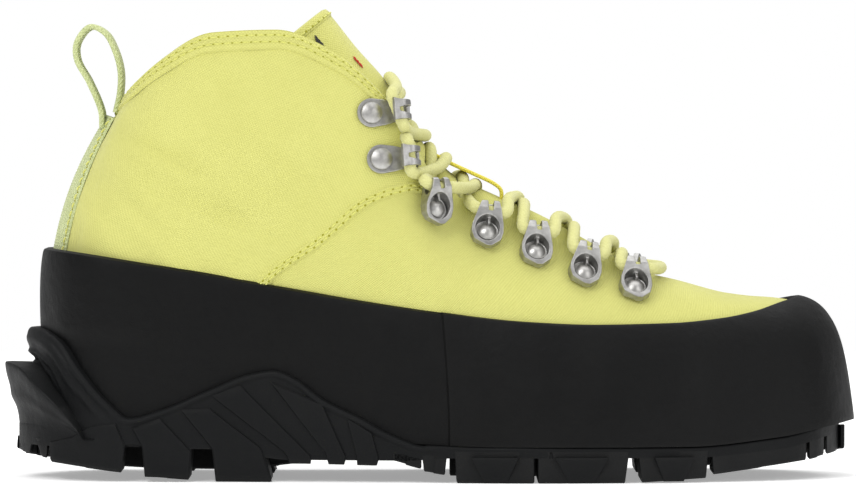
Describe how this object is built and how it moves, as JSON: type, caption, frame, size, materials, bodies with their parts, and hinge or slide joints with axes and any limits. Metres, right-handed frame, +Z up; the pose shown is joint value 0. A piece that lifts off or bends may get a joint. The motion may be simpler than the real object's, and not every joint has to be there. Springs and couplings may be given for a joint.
{
  "type": "mountaineering boot",
  "caption": "Mid-height mountaineering boot with a woven fabric upper, tall rubber rand, lugged outsole, cast lace loops and open hooks",
  "frame": {"origin": "on the ground, under the middle of the boot's bounding box", "axes": "+X from heel to toe, -Y to the outer side of this right-foot boot, +Z up"},
  "size_m": [0.3134, 0.1031, 0.1745],
  "materials": {
    "canvas": "plain woven nylon canvas, yellow",
    "webbing": "woven tape, pale yellow-green",
    "keeper_webbing": "narrow woven tape, deeper yellow",
    "lace": "round braided polyester cord",
    "rubber": "smooth matte rand rubber",
    "tread_rubber": "moulded tread rubber",
    "foam": "open-cell padding foam",
    "board": "pressed fibre board",
    "stiffener": "thermoformed stiffener",
    "lining": "brushed knit lining",
    "steel": "satin nickel-plated steel",
    "cast_metal": "satin cast alloy",
    "aglet": "clear film shrunk on the lace's end"
  },
  "bodies": {
    "boot": {"vamp": "canvas", "vamp_lining": "lining", "quarter_lateral": "canvas", "quarter_medial": "canvas", "quarter_lining_lateral": "lining", "quarter_lining_medial": "lining", "heel_counter": "stiffener", "collar_foam": "foam", "toe_puff": "stiffener", "rear_rand": "rubber", "front_rand": "rubber", "midsole": "foam", "shank": "steel", "insole_board": "board", "footbed": "lining", "outsole": "tread_rubber", "tongue_root": "canvas", "tongue_root_pad": "foam", "heel_tape": "webbing", "lace_keeper": "keeper_webbing", "collar_band": "canvas", "lace": "lace", "loop_lateral_1": "cast_metal", "loop_lateral_2": "cast_metal", "loop_lateral_3": "cast_metal", "loop_lateral_4": "cast_metal", "loop_lateral_5": "cast_metal", "hook_lateral_1": "cast_metal", "hook_lateral_2": "cast_metal", "loop_medial_1": "cast_metal", "loop_medial_2": "cast_metal", "loop_medial_3": "cast_metal", "loop_medial_4": "cast_metal", "loop_medial_5": "cast_metal", "hook_medial_1": "cast_metal", "hook_medial_2": "cast_metal", "loop_rivet_lateral_1": "steel", "loop_rivet_lateral_2": "steel", "loop_rivet_lateral_3": "steel", "loop_rivet_lateral_4": "steel", "loop_rivet_lateral_5": "steel", "hook_rivet_lateral_1": "steel", "hook_rivet_lateral_2": "steel", "loop_rivet_medial_1": "steel", "loop_rivet_medial_2": "steel", "loop_rivet_medial_3": "steel", "loop_rivet_medial_4": "steel", "loop_rivet_medial_5": "steel", "hook_rivet_medial_1": "steel", "hook_rivet_medial_2": "steel", "aglet_lateral": "aglet", "aglet_medial": "aglet"},
    "tongue": {"tongue_flap": "canvas", "tongue_flap_pad": "foam", "tongue_binding": "webbing"},
    "loop": {"pull_loop": "webbing"}
  },
  "joints": [
    {"name": "tongue_fold", "type": "hinge", "parent": "boot", "child": "tongue", "pos_m": [-0.0014, 0, 0.1151], "axis": [0, 1, 0], "range_deg": [-25, 0]},
    {"name": "pull_loop_hinge", "type": "hinge", "parent": "boot", "child": "loop", "pos_m": [-0.1168, 0, 0.142], "axis": [0, 1, 0], "range_deg": [-30, 25]}
  ]
}
